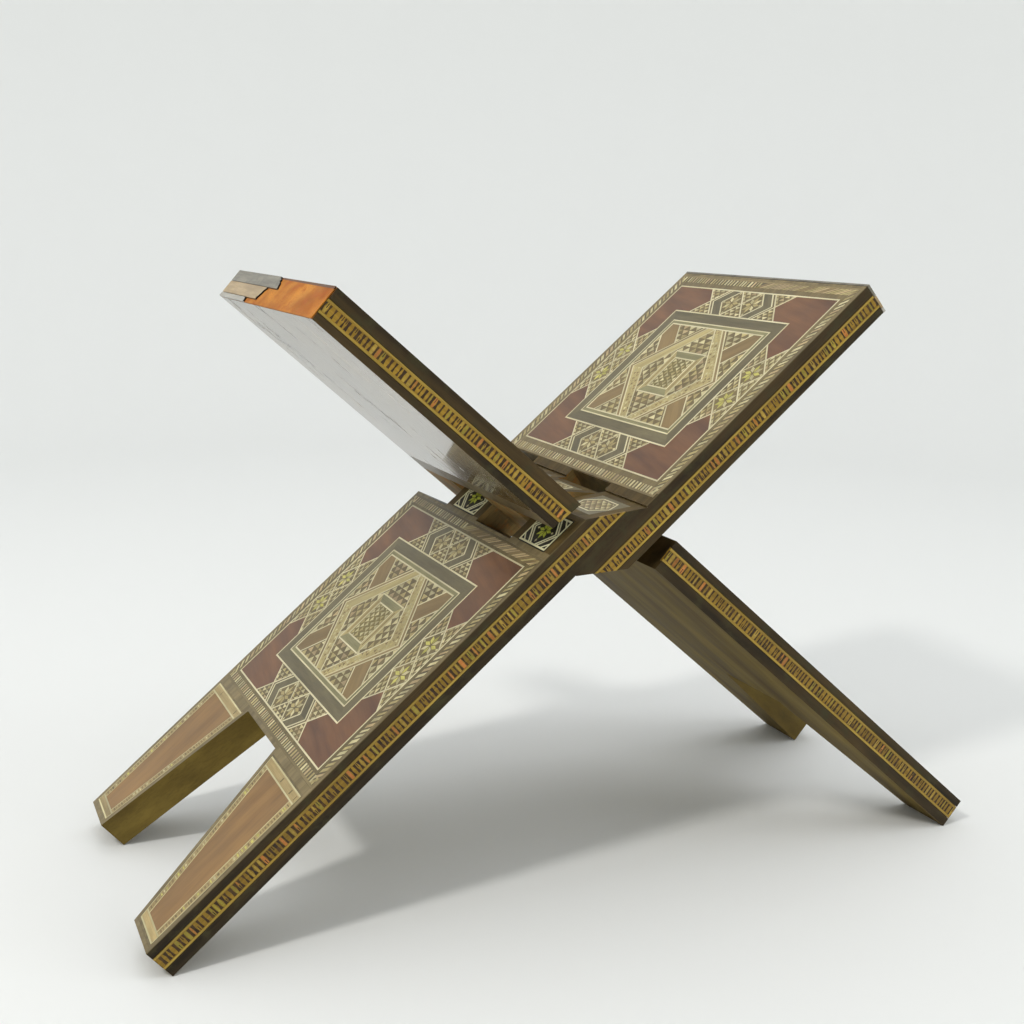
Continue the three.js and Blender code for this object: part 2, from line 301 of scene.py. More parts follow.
def clip(outline, region):
    """The part of one convex outline that lies inside another, both counter-clockwise."""
    for a, b in zip(region, region[1:] + region[:1]):
        def side(p):
            return (b[0] - a[0]) * (p[1] - a[1]) - (b[1] - a[1]) * (p[0] - a[0])
        kept = []
        for p, q in zip(outline, outline[1:] + outline[:1]):
            sp, sq = side(p), side(q)
            if sp >= 0:
                kept.append(p)
            if sp * sq < 0:
                t = sp / (sp - sq)
                kept.append((p[0] + t * (q[0] - p[0]), p[1] + t * (q[1] - p[1])))
        outline = kept
        if len(outline) < 3:
            return []
    return outline


def shrink(outline, distance):
    """A convex outline moved in by a distance on every side, or nothing if too small."""
    result = list(outline)
    far = 1000.0
    for a, b in zip(outline, outline[1:] + outline[:1]):
        length = math.dist(a, b)
        if length < 1e-6:
            continue
        du, dv = (b[0] - a[0]) / length, (b[1] - a[1]) / length
        u, v = a[0] - dv * distance, a[1] + du * distance
        p, q = (u - du * far, v - dv * far), (u + du * far, v + dv * far)
        half_plane = [p, q, (q[0] - dv * far, q[1] + du * far), (p[0] - dv * far, p[1] + du * far)]
        result = clip(result, half_plane)
        if not result:
            return []
    return result


class Inlay:
    """Flat closed pieces laid side by side on one plane of a board, gathered in one object.

    origin, right and up place the drawing in the board's frame; pieces stand up along normal."""

    def __init__(self, board, origin, right, up):
        self.board = board
        self.origin = Vector(origin)
        self.right = Vector(right).normalized()
        self.up = Vector(up).normalized()
        self.normal = self.right.cross(self.up)
        self.bm = bmesh.new()
        self.tone = self.bm.faces.layers.float.new("tone")
        self.grain = self.bm.verts.layers.float_vector.new("grain")
        self.materials = []

    def slot(self, material):
        if material not in self.materials:
            self.materials.append(material)
        return self.materials.index(material)

    def add(self, outline, material, low, high, along=(1.0, 0.0), own_grain=True):
        """One piece: a convex outline in millimetres, solid between two heights."""
        if len(outline) < 3 or abs(area(outline)) < SMALLEST:
            return
        outline = ordered(outline)
        length = math.hypot(*along)
        ax, ay = along[0] / length, along[1] / length
        shift = Vector((rng.uniform(0, 400), rng.uniform(0, 400), rng.uniform(0, 400)))
        tone = rng.random()
        if not own_grain:
            shift, tone = Vector(), 0.5
        index = self.slot(material)
        rings = []
        for height in (low, high):
            ring = []
            for u, v in outline:
                place = self.origin + self.right * u + self.up * v + self.normal * height
                vert = self.bm.verts.new(place)
                vert[self.grain] = Vector((u * ax + v * ay, v * ax - u * ay, height)) + shift
                ring.append(vert)
            rings.append(ring)
        bottom, top = rings
        faces = [self.bm.faces.new(top), self.bm.faces.new(bottom[::-1])]
        for i in range(len(outline)):
            j = (i + 1) % len(outline)
            faces.append(self.bm.faces.new((bottom[i], bottom[j], top[j], top[i])))
        for face in faces:
            face[self.tone] = tone
            face.material_index = index

    def line(self, p, q, width, material, low, high, region=None):
        """A straight line of one width, cut off at the region's edges."""
        length = math.dist(p, q)
        nx, ny = -(q[1] - p[1]) / length * width / 2, (q[0] - p[0]) / length * width / 2
        outline = ordered([(p[0] - nx, p[1] - ny), (q[0] - nx, q[1] - ny),
                           (q[0] + nx, q[1] + ny), (p[0] + nx, p[1] + ny)])
        if region:
            outline = clip(outline, region)
        self.add(outline, material, low, high, (q[0] - p[0], q[1] - p[1]))

    def frame(self, half_u, half_v, width, material, low, high):
        """A mitred rectangular frame, its outer half sizes given."""
        outer = rectangle(half_u, half_v)
        inner = rectangle(half_u - width, half_v - width)
        for i in range(4):
            j = (i + 1) % 4
            along = (1.0, 0.0) if i % 2 == 0 else (0.0, 1.0)
            self.add([outer[i], outer[j], inner[j], inner[i]], material, low, high, along)

    def mosaic(self, region, base, height, low, high, direction=(1.0, 0.0), origin=(0.0, 0.0),
               gap=0.18, flip=False, mix=None):
        """Small pale triangles in staggered rows, cut off at the region's edges.

        The rows run in one direction and start at the origin. gap is the dark joint left round
        each triangle, and flip turns the triangles upside down."""
        dx, dy = direction
        inside = shrink(ordered(region), gap)
        if not inside:
            return
        reach = max(math.dist(origin, p) for p in region)
        rows = int(reach / height) + 2
        columns = int(reach / base) + 2
        for row in range(-rows, rows):
            for column in range(-columns, columns):
                u0 = column * base + (row % 2) * base / 2
                v0 = row * height
                apex = v0 if flip else v0 + height
                foot = v0 + height if flip else v0
                corners = [(u0, foot), (u0 + base, foot), (u0 + base / 2, apex)]
                placed = [(origin[0] + u * dx - v * dy, origin[1] + u * dy + v * dx)
                          for u, v in corners]
                piece = clip(shrink(ordered(placed), gap), inside)
                self.add(piece, rng.choice(mix or MOSAIC_MIX), low, high, direction)

    def star(self, centre, radius_u, radius_v, low, high, petals=(STAR, CREAM)):
        """A rosette of eight kite-shaped petals in two tones, with a slip beyond each straight one."""
        for i in range(8):
            angle = math.pi / 4 * i
            c, s = math.cos(angle), math.sin(angle)
            tone = petals[1] if i % 2 and rng.random() < 0.7 else petals[0]
            # root, belly and tip as parts of the radius, half the width, and the wood
            kites = [((0.08, 0.36, 0.64), 0.125, tone)]
            if i % 2 == 0:
                kites.append(((0.66, 0.77, 0.90), 0.09, CREAM))
            for (root, belly, tip), half, material in kites:
                kite = [(root, 0.0), (belly, -half), (tip, 0.0), (belly, half)]
                outline = [(centre[0] + radius_u * (r * c - w * s),
                            centre[1] + radius_v * (r * s + w * c)) for r, w in kite]
                self.add(outline, material, low, high, (c, s))

    def finish(self, name, node):
        """Makes the object, rides it on its board and lets it stand for its CAD node."""
        self.bm.normal_update()
        mesh = new_mesh(name, self.bm, self.materials)
        mesh.transform(self.board.to_world)
        piece = new_object(name, mesh)
        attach(piece, self.board.name)
        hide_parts(f"{self.board.name}_{node}")


# Heights of the inlay's layers over the ground veneer
FIELD = (-0.3, 0.02)
MOSAIC = (-0.3, 0.05)
LINE = (-0.3, 0.075)
TOP_LINE = (-0.3, 0.095)

MOSAIC_MIX = (CREAM, CREAM, CREAM, BAND_TAN, BAND_TAN, BLUSH)
BAND_MIX = (CREAM, BAND_TAN, TAN_WOOD)
HEART_MIX = (CREAM, CREAM, BAND_TAN)
TICK_MIX = (CREAM, CREAM, BAND_TAN, BAND_TAN, BLUSH)
CORNER_TICK_MIX = (BLUSH, BLUSH, BAND_TAN, TAN_WOOD)


# ---------------- the large sheets

PLAY = 0.25  # a sheet fills this much of the gap round its CAD node
BORDER_WIDTH = 4.1  # band of slanting ticks round the sheet
BORDER_INSET = 1.3  # plain wood outside it

# Half sizes of the drawing's lines, along and across the board
OUTER_LINE = (65.0, 75.6)  # bone line round the whole drawing
FRAME_LINE = (45.4, 55.7)  # outer line of the grey frame
INNER_FRAME = (37.9, 47.9)  # outer line of the pair inside the grey frame
PANEL_LINE = (35.25, 45.15)  # inner line of that pair
PANEL = (34.9, 44.8)  # inner panel
LOZENGE = (34.5, 30.7)  # half diagonals of the lozenge that four bands leave open
CENTRE_OUT = (16.2, 15.0)  # outer line of the centre box
CENTRE_IN = (11.3, 10.1)  # its inner line

# Widths of the lines and of what lies between them
LINE_WIDTH = 0.85
MIDDLE_LINE = 0.8
FINE_LINE = 0.75
FRAME_WIDTH = 7.3  # grey frame, with its outer line
SAGE_WIDTH = 2.2  # between the pair of lines inside it
CENTRE_RING = 4.2  # between the two lines of the centre box

# Places in the motifs
PITCH = 19.4  # from one end diamond to the next
CROSS = 31.0  # where the lines beyond the side diamonds cross
CHEVRON = 28.2  # tip of the chevron inside that crossing
SIDE_LENGTH = 48.0  # half length that a side motif may fill
BAND_SIDE = 10.6  # where a lozenge band's outer line meets the panel's side

# Base and height of the triangles in each field of mosaic
WEDGE_TRIANGLE = (5.4, 3.9)
ROOF_TRIANGLE = (5.4, 4.0)
SIDE_TRIANGLE = (6.4, 3.6)
HEART_TRIANGLE = (3.6, 2.9)
SPECKLE = (2.6, 2.3)
FINE_GAP = 0.14

# Ticks of the border: how far they lean, how thick they are and how far apart
SIDE_TICK = (3.4, (1.5, 2.4), (1.1, 1.9))
END_TICK = (0.0, (1.0, 1.8), (1.1, 1.9))
CORNER_TICK = (-8.84, (2.1, 3.36), (0.7, 1.1))


def border_ticks(inlay, half_u, half_v):
    """Ticks between the sheet's plain edge and its drawing, slanting along its long sides.

    At the hinge end, the near half has long slanting ticks. The rest of both ends has straight ones."""
    edge_u, edge_v = half_u - BORDER_INSET, half_v - BORDER_INSET
    reach = BORDER_WIDTH / 2
    inlay.frame(half_u, half_v, BORDER_INSET, FACE_WOOD, *FIELD)
    inlay.frame(edge_u, edge_v, BORDER_WIDTH, BORDER_WOOD, *FIELD)
    border = rectangle(edge_u, edge_v)
    sides = [((1, 0), edge_v - reach, edge_u), ((1, 0), reach - edge_v, edge_u),
             ((0, 1), edge_u - reach, edge_v), ((0, 1), reach - edge_u, edge_v)]
    for (du, dv), offset, length in sides:
        side = 1 if offset > 0 else -1
        place = -length + 1.0
        while place < length - 1.0:
            in_corner = dv and side > 0 and place < 0
            slant, thicknesses, gaps = SIDE_TICK if du else CORNER_TICK if in_corner else END_TICK
            thick, gap = rng.uniform(*thicknesses), rng.uniform(*gaps)
            material = rng.choice(TICK_MIX)
            if in_corner:
                material = rng.choice(CORNER_TICK_MIX)
            tick = [(place - slant / 2, -reach), (place + thick - slant / 2, -reach),
                    (place + thick + slant / 2, reach), (place + slant / 2, reach)]
            outline = [(a * du + (offset + b * side) * dv, a * dv + (offset + b * side) * du)
                       for a, b in tick]
            along = (slant * du, slant * dv) if slant else (1.0, 0.0)
            inlay.add(clip(ordered(outline), border), material, *MOSAIC, along)
            place += thick + gap


def corner_fields(inlay):
    """Red-brown fields in the four corners, with a point towards each side's motif."""
    (u_in, v_in), (u_out, v_out) = FRAME_LINE, OUTER_LINE
    half = (u_out - u_in) / 2
    lower = [(1.5 * PITCH, v_in), (u_out, v_in), (u_out, v_out), (1.5 * PITCH, v_out),
             (PITCH, (v_in + v_out) / 2)]
    side = [(u_in, CROSS + half), (u_in + half, CROSS), (u_out, CROSS + half), (u_out, v_in),
            (u_in, v_in)]
    for fu, fv in QUARTERS:
        for field in (lower, side):
            inlay.add(mirrored(field, fu, fv), RED_WOOD, *FIELD, (0.2, 1.0), own_grain=False)


def end_motifs(inlay):
    """Two starred diamonds in crossing lines at each long edge of the drawing."""
    u_out = OUTER_LINE[0]
    v_in, v_out = FRAME_LINE[1], OUTER_LINE[1]
    v_mid, depth = (v_in + v_out) / 2, v_out - v_in
    for fv in (1, -1):
        for k in (-1, 0, 1):
            centre = k * PITCH
            left, right = centre - PITCH / 2, centre + PITCH / 2
            for edge in (v_in, v_out):
                region = mirrored([(left, edge), (right, edge), (centre, v_mid)], 1, fv)
                inlay.mosaic(region, PITCH / 4, depth / 8, *MOSAIC, gap=FINE_GAP,
                             origin=(left, edge * fv), flip=(edge == v_in) == (fv == 1))
        for k in (-0.5, 0.5):
            centre = k * PITCH
            left, right = centre - PITCH / 2, centre + PITCH / 2
            inlay.star((centre, v_mid * fv), PITCH / 2, depth / 2, *MOSAIC)
            diamond = [(left, v_mid), (centre, v_in), (right, v_mid), (centre, v_out)]
            inlay.add(mirrored(diamond, 1, fv), GROUND, *FIELD)
        region = ordered(mirrored(box(-u_out, v_in, u_out, v_out), 1, fv))
        for outward in (True, False):
            for i in range(3):
                a, b = (v_in, v_out) if (i % 2 == 0) == outward else (v_out, v_in)
                inlay.line(((i - 1.5) * PITCH, a * fv), ((i - 0.5) * PITCH, b * fv),
                           LINE_WIDTH, BONE, *LINE, region)


def side_motifs(inlay):
    """A column of two starred diamonds between chevrons at each short edge of the drawing."""
    u_in, u_out = FRAME_LINE[0], OUTER_LINE[0]
    u_mid, half = (u_in + u_out) / 2, (u_out - u_in) / 2
    for fu in (1, -1):
        region = ordered(mirrored(box(u_in, -SIDE_LENGTH, u_out, SIDE_LENGTH), fu, 1))

        def wing(edge, middle, fv):
            """A triangle of mosaic against one edge, pointing to the middle of the column."""
            outline = mirrored([(edge, middle + half), (u_mid, middle), (edge, middle - half)], fu, fv)
            inlay.mosaic(outline, half / 2, half / 4, *MOSAIC, direction=(0.0, 1.0), gap=FINE_GAP,
                         origin=(edge * fu, (middle + half) * fv), flip=(edge == u_in) == (fu == -1))

        for fv in (1, -1):
            inlay.star((u_mid * fu, half * fv), half, half, *MOSAIC, petals=(BAND_TAN, CREAM))
            for edge in (u_in, u_out):
                wing(edge, CROSS, fv)
                for p, q in [((u_mid, CROSS), (edge, CROSS + half)),
                             ((u_mid, CROSS), (edge, CROSS - half)),
                             ((u_mid, CHEVRON), (edge, CHEVRON - half)),
                             ((u_mid, 2 * half), (edge, half)),
                             ((edge, half), (u_mid, 0.0))]:
                    inlay.line(*mirrored([p, q], fu, fv), LINE_WIDTH, BONE, *LINE, region)
                brace = [(u_mid, 2 * half + 0.4), (edge, half + 0.4), (edge, CHEVRON - half),
                         (u_mid, CHEVRON)]
                inlay.add(mirrored(brace, fu, fv), GREY_WOOD, *FIELD, (1.0, 1.0))
        for edge in (u_in, u_out):
            wing(edge, 0.0, 1)


def grey_frame(inlay):
    """The grey frame and the narrower sage one inside it, with bone lines between."""
    inlay.frame(*FRAME_LINE, LINE_WIDTH, BONE, *TOP_LINE)
    inlay.frame(FRAME_LINE[0] - LINE_WIDTH, FRAME_LINE[1] - LINE_WIDTH, FRAME_WIDTH - LINE_WIDTH,
                GREY_WOOD, *FIELD)
    inlay.frame(*INNER_FRAME, FINE_LINE, BONE, *LINE)
    inlay.frame(INNER_FRAME[0] - FINE_LINE, INNER_FRAME[1] - FINE_LINE, SAGE_WIDTH, SAGE_WOOD, *FIELD)
    inlay.frame(*PANEL_LINE, MIDDLE_LINE, BONE, *LINE)


def lattice_band(inlay):
    """The four mosaic bands that form a lozenge in the inner panel, and what lies outside it."""
    pu, pv = PANEL
    inner_u, inner_v = LOZENGE
    # lines parallel to a band's outer edge: inset from it at both ends, width, wood and layer
    lines = [(0.3, 0.3, FINE_LINE, BONE, TOP_LINE), (2.0, 2.0, 1.3, TAN_WOOD, MOSAIC),
             (3.7, 3.7, FINE_LINE, BONE, LINE), (pv - inner_v, BAND_SIDE, MIDDLE_LINE, BONE, LINE)]
    speckled = 4.6  # the speckle starts this far in
    past, rise = 2.0, 1.96  # and each line runs on past the quarter's edges
    bar_end = [(25.3, pv), (12.0, 33.0)]  # the two long sides of the bar in the corner
    bar_side = [(pu, 36.9), (20.9, 24.3)]
    bar = [(pu, pv), *bar_end, *bar_side[::-1]]
    slope = Vector((pu, BAND_SIDE - pv)).normalized()
    for fu, fv in QUARTERS:
        along = (slope.x * fu, slope.y * fv)
        quarter = ordered(mirrored(box(0.0, 0.0, pu, pv), fu, fv))
        band = [(0.0, inner_v), (inner_u, 0.0), (pu, 0.0), (pu, BAND_SIDE), (0.0, pv)]
        inlay.add(clip(ordered(mirrored(band, fu, fv)), quarter), BAND_TAN, *FIELD, along)
        for inset_a, inset_b, width, material, layer in lines:
            ends = [(-past, pv + rise - inset_a), (pu + past, BAND_SIDE - rise - inset_b)]
            inlay.line(*mirrored(ends, fu, fv), width, material, *layer, quarter)
        if (fu, fv) != (1, 1):  # one of the four bands is plain
            inside = [(0.0, pv - speckled), (pu, BAND_SIDE - speckled), (pu, 0.0), (inner_u, 0.0),
                      (0.0, inner_v + 0.7)]
            inlay.mosaic(clip(ordered(mirrored(inside, fu, fv)), quarter), *SPECKLE, *MOSAIC,
                         direction=along, gap=0.12, mix=BAND_MIX)
        inlay.add(mirrored(bar, fu, fv), BAR_WOOD, *FIELD, (fu, fv))
        for side in (bar_end, bar_side):
            inlay.line(*mirrored(side, fu, fv), MIDDLE_LINE, BONE, *LINE, rectangle(pu, pv))
        wedge_end = mirrored([bar_end[0], (0.4, pv), (12.0, 33.4)], fu, fv)
        wedge_side = mirrored([bar_side[0], (20.9, 24.6), (pu, 11.0)], fu, fv)
        inlay.mosaic(wedge_end, *WEDGE_TRIANGLE, *MOSAIC, origin=(0.0, pv * fv), flip=fv > 0)
        inlay.mosaic(wedge_side, *SIDE_TRIANGLE, *MOSAIC, direction=(0.0, 1.0),
                     origin=(pu * fu, 0.0), flip=fu < 0)


def lozenge_field(inlay):
    """Mosaic inside the lozenge and the framed centre with its finer mosaic."""
    cu, cv = CENTRE_OUT
    inner_u, inner_v = LOZENGE
    edge_v = inner_v * (1 - cu / inner_u)
    for fv in (1, -1):
        roof = mirrored([(-cu, cv), (cu, cv), (cu, edge_v), (0.0, inner_v), (-cu, edge_v)], 1, fv)
        inlay.mosaic(roof, *ROOF_TRIANGLE, *MOSAIC, origin=(0.0, cv * fv), flip=fv < 0)
    for fu in (1, -1):
        wing = mirrored([(cu, -cv), (inner_u, 0.0), (cu, cv)], fu, 1)
        inlay.mosaic(wing, *SIDE_TRIANGLE, *MOSAIC, direction=(0.0, 1.0), origin=(cu * fu, 0.0),
                     flip=fu > 0)
    inlay.frame(*CENTRE_OUT, MIDDLE_LINE, BONE, *TOP_LINE)
    ring_u, ring_v = cu - MIDDLE_LINE, cv - MIDDLE_LINE
    in_u, in_v = ring_u - CENTRE_RING, ring_v - CENTRE_RING
    for side in (-1, 1):
        block = [(side * ring_u, -ring_v), (side * ring_u, ring_v), (side * in_u, in_v),
                 (side * in_u, -in_v)]
        inlay.add(block, SAGE_WOOD, *FIELD, (0.0, 1.0))
        slip = [(-ring_u, side * ring_v), (ring_u, side * ring_v), (in_u, side * in_v),
                (-in_u, side * in_v)]
        inlay.add(slip, BAND_TAN, *FIELD)
        middle = side * (ring_v - CENTRE_RING / 2)
        inlay.line((-in_u, middle), (in_u, middle), MIDDLE_LINE, TAN_WOOD, *LINE)
    inlay.frame(*CENTRE_IN, MIDDLE_LINE, BONE, *TOP_LINE)
    iu, iv = CENTRE_IN[0] - MIDDLE_LINE, CENTRE_IN[1] - MIDDLE_LINE
    inlay.add(rectangle(iu, iv), OCHRE_GROUND, *FIELD)
    for fv in (1, -1):
        half = mirrored(box(-iu, 0.0, iu, iv), 1, fv)
        inlay.mosaic(half, *HEART_TRIANGLE, *MOSAIC, gap=FINE_GAP, flip=fv > 0, mix=HEART_MIX)


def marquetry_sheet(board, part):
    """The star and lozenge drawing that the book rest and the apron share."""
    node = f"{part}_sheet"
    _, low, high = board.measure(node)
    centre = [(a + b) / 2 for a, b in zip(low, high)]
    inlay = Inlay(board, (centre[0], centre[1], high[2]), (1, 0, 0), (0, 1, 0))
    half_u, half_v = (high[0] - low[0]) / 2 + PLAY, (high[1] - low[1]) / 2 + PLAY
    inlay.add(rectangle(half_u, half_v), GROUND, low[2] - high[2], 0.0)
    border_ticks(inlay, half_u, half_v)
    inlay.frame(*OUTER_LINE, LINE_WIDTH, BONE, *TOP_LINE)
    corner_fields(inlay)
    end_motifs(inlay)
    side_motifs(inlay)
    grey_frame(inlay)
    lattice_band(inlay)
    lozenge_field(inlay)
    inlay.finish(f"{board.name}_{part}_marquetry", node)


# ---------------- legs, knuckles and edges

LEG_MARGIN = 2.5  # bare wood between a leg sheet and the board's side
LEG_RIM = 1.1  # plain veneer round a leg sheet's border
LEG_BORDER = 4.8
LEG_HEAD, LEG_TOE = 5.4, 4.6  # blocks across its two ends
TILE_RIM = 0.4  # black outside the outer line of a finger tile
TILE_TRIANGLE = (3.1, 2.5)
BEVEL_FALL, BEVEL_RUN = 18.2, 26.6  # the slope that a bevel tile lies on
PALE_EDGE = 1.3  # dark joint and pale line along each side of an edge band
EDGE_JOINT = 0.35  # the joint alone
BAND_DEPTH = -0.5  # how deep its pieces are
BAND_TOP = -0.01  # height of its ticks; only its lines are flush with the wood
PAINTED_SHADE_LINE_WIDTH = 0.6  # dark line along the broken end of a veneer: dirt, and painted shade of the step down to the bare wood
BARE_DEPTH = -0.75  # height of the bare wood against the veneer that is left


def leg_sheet(board, side_name):
    """Plain veneer in a mosaic border, tapering towards the foot."""
    node = f"{side_name}_leg_sheet"
    points, low, high = board.measure(node)
    side = 1 if low[1] > 0 else -1
    foot, crown = low[0], high[0]
    outer = side * (WIDTH / 2 - LEG_MARGIN + PLAY)
    at_foot, at_crown = (min(p[1] * side for p in points if abs(p[0] - end) < 0.1)
                         for end in (foot, crown))

    def edge_at(edge, x, inset):
        """The point of one long edge at x, moved in by an inset."""
        if edge == "outer":
            return (x, outer - side * inset)
        t = (x - foot) / (crown - foot)
        return (x, side * (at_foot + (at_crown - at_foot) * t - PLAY) + side * inset)

    def strip(x0, x1, edge, a, b):
        """A strip along one long edge, between two insets from it."""
        return [edge_at(edge, x0, a), edge_at(edge, x1, a), edge_at(edge, x1, b), edge_at(edge, x0, b)]

    def block(x0, x1, inset):
        """A block right across the sheet."""
        return [edge_at("outer", x0, inset), edge_at("outer", x1, inset),
                edge_at("inner", x1, inset), edge_at("inner", x0, inset)]

    inlay = Inlay(board, (0.0, 0.0, high[2]), (1, 0, 0), (0, 1, 0))
    inlay.add(block(foot - PLAY, crown + PLAY, 0.0), FACE_WOOD, low[2] - high[2], 0.0)
    x0, x1 = foot + 1.0, crown - 0.6
    start, stop = x0 + LEG_TOE, x1 - LEG_HEAD
    border = LEG_RIM + LEG_BORDER
    fine = 0.5
    inlay.add(block(start, stop, border), LEG_WOOD, *FIELD)
    for edge in ("outer", "inner"):
        inlay.add(strip(start, stop, edge, LEG_RIM, border), LEG_BAND, *FIELD)
        inlay.add(strip(x0, x1, edge, LEG_RIM, LEG_RIM + fine), CREAM, *LINE)
        inlay.add(strip(start, stop, edge, border - fine, border), CREAM, *LINE)
        place = start + 1.2
        while place < stop - 1.5:
            size = rng.uniform(0.5, 1.2)
            inset = LEG_RIM + rng.uniform(0.9, 1.5)
            material = rng.choice((GROUND, GROUND, TAN_WOOD, TAN_WOOD, TAN_WOOD, CREAM, STAR))
            dot = strip(place, place + size, edge, inset, border - rng.uniform(0.9, 1.5))
            inlay.add(dot, material, *MOSAIC)
            place += size + rng.uniform(0.5, 1.3)
    line = MIDDLE_LINE
    for x, wide, line_at in ((stop, LEG_HEAD, (0.0, LEG_HEAD - line)),
                             (x0, LEG_TOE, (LEG_TOE - line, 0.0))):
        inlay.add(block(x, x + wide, LEG_RIM), LEG_BAND, *FIELD, (0.0, 1.0))
        for offset in line_at:
            a, b = x + offset, x + offset + line
            v_outer, v_inner = (edge_at(edge, a, LEG_RIM)[1] for edge in ("outer", "inner"))
            inlay.add(box(a, v_outer, b, v_inner), CREAM, *TOP_LINE, (0.0, 1.0))
    # a few dark slips in the block at the crown
    slips, slip_low, slip_high = 9, stop + 1.6, x1 - 1.4
    span = abs(outer - edge_at("inner", stop, 0.0)[1]) - 6.0
    for i in range(slips):
        if rng.random() < 0.45:
            continue
        v = outer - side * (3.0 + span * (i + rng.random() * 0.6) / slips)
        size = rng.uniform(0.6, 1.3)
        inlay.add(box(slip_low, v, slip_high, v + size), GROUND, *MOSAIC)
    inlay.finish(f"{board.name}_{side_name}_leg_marquetry", node)


def finger_tile(board, place):
    """A black tile with a star inside crossing lines."""
    node = f"{place}_finger_tile"
    _, low, high = board.measure(node)
    cu, cv = (low[0] + high[0]) / 2, (low[1] + high[1]) / 2
    hu, hv = (high[0] - low[0]) / 2, (high[1] - low[1]) / 2
    inlay = Inlay(board, (cu, cv, high[2]), (1, 0, 0), (0, 1, 0))
    inlay.add(rectangle(hu, hv), BLACK_TILE, low[2] - high[2], 0.0)
    edge = rectangle(hu - TILE_RIM, hv - TILE_RIM)
    inlay.frame(hu - TILE_RIM, hv - TILE_RIM, 1.0, TILE_LINE, *TOP_LINE)
    peak, valley = 9.0 + 0.42 * hu, 9.0 - 0.58 * hu
    for fu, fv in QUARTERS:
        for inset in (0.0, 2.2):
            roof = mirrored([(0.0, peak - inset), (hu, valley - inset)], fu, fv)
            inlay.line(*roof, 0.9, TILE_LINE, *LINE, edge)
        corner = mirrored([(hu, hv - 7.0), (hu - 5.5, hv)], fu, fv)
        inlay.line(*corner, 0.8, TILE_LINE, *LINE, edge)
    inlay.star((0.0, 0.0), 8.4, 9.2, *MOSAIC, petals=(TILE_STAR, TILE_STAR))
    inlay.finish(f"{board.name}_{place}_finger_star_tile", node)


def bevel_tile(board, place):
    """A long hexagon of fine mosaic on the slope between finger and book rest."""
    node = f"{place}_bevel_tile"
    points, low, high = board.measure(node)
    centre = sum(points, Vector()) / len(points)
    right = Vector((BEVEL_RUN, 0.0, -BEVEL_FALL)).normalized()
    up = Vector((0.0, 1.0, 0.0))
    normal = right.cross(up)
    top = max((p - centre).dot(normal) for p in points)
    hu = max((p - centre).dot(right) for p in points)
    hv = (high[1] - low[1]) / 2
    inlay = Inlay(board, centre + normal * top, right, up)
    inlay.add(rectangle(hu, hv), GREY_WOOD, -2 * top, 0.0, (0.0, 1.0))
    flank, shoulder, tip = 0.72 * hu, 0.5 * hv, 0.92 * hv
    hexagon = [(-flank, -shoulder), (0.0, -tip), (flank, -shoulder),
               (flank, shoulder), (0.0, tip), (-flank, shoulder)]
    inlay.add(hexagon, GROUND, *FIELD)
    for a, b in zip(hexagon, hexagon[1:] + hexagon[:1]):
        inlay.line(a, b, MIDDLE_LINE, BONE, *LINE)
    inlay.mosaic(shrink(hexagon, 1.3), *TILE_TRIANGLE, *MOSAIC, gap=0.16)
    inlay.finish(f"{board.name}_{place}_bevel_mosaic", node)


def edge_band(board, side_name, part):
    """Ochre mosaic band between two pale lines, with dark hourglass ticks."""
    node = f"{side_name}_{part}_band"
    points, low, high = board.measure(node)
    side = 1 if low[1] > 0 else -1
    sign = -side  # u runs down the board on the far side, so that it faces out
    z0, z1 = low[2], high[2]
    z_mid = (z0 + z1) / 2
    z_in, z_out = z0 + PALE_EDGE, z1 - PALE_EDGE
    at_z0 = [p[0] for p in points if abs(p[2] - z0) < 0.2]
    at_z1 = [p[0] for p in points if abs(p[2] - z1) < 0.2]
    start = min(at_z0 + at_z1) - 1.0
    stop = max(at_z0 + at_z1) + 1.0
    inlay = Inlay(board, (0.0, side * WIDTH / 2, 0.0), (sign, 0, 0), (0, 0, 1))
    outline = [(min(at_z0), z0), (max(at_z0), z0), (max(at_z1), z1), (min(at_z1), z1)]
    outline = ordered(mirrored(outline, sign, 1))
    inlay.add(outline, OCHRE, -(high[1] - low[1]), -0.05)

    def put(shape, material, top, along=(1.0, 0.0)):
        """A piece of the band, its shape given with x up the board."""
        shape = clip(ordered(mirrored(shape, sign, 1)), outline)
        inlay.add(shape, material, BAND_DEPTH, top, along)

    def tick(middle, wide, waist):
        """An hourglass of dark wood, as tall as the band's centre."""
        half, narrow = wide / 2, wide * waist / 2
        for end in (z_in, z_out):
            put([(middle - half, end), (middle + half, end), (middle + narrow, z_mid),
                 (middle - narrow, z_mid)], DARK_TICK, BAND_TOP, (0.0, 1.0))

    put(box(start, z0, stop, z_in - EDGE_JOINT), PALE_LINE, 0.0)
    put(box(start, z_out + EDGE_JOINT, stop, z1), PALE_LINE, 0.0)
    place = start
    while place < stop:
        cell = rng.uniform(2.1, 3.1)
        wide = rng.uniform(1.0, 1.8)
        tick(place + wide / 2, wide, rng.choice((0.4, 0.5, 0.7)))
        slip = rng.choice((None, None, None, None, None, ORANGE, PALE_LINE, LIME))
        if slip:
            put(box(place + wide + 0.1, z_in, place + cell - 0.1, z_out), slip, BAND_TOP)
        if rng.random() < 0.3:
            middle = place + (wide + cell) / 2
            foot = rng.choice((z_in, z_mid))
            put(box(middle - 0.2, foot, middle + 0.2, foot + z_mid - z_in), DARK_TICK, 0.0)
        place += cell
    inlay.finish(f"{board.name}_{side_name}_{part}_mosaic_band", node)


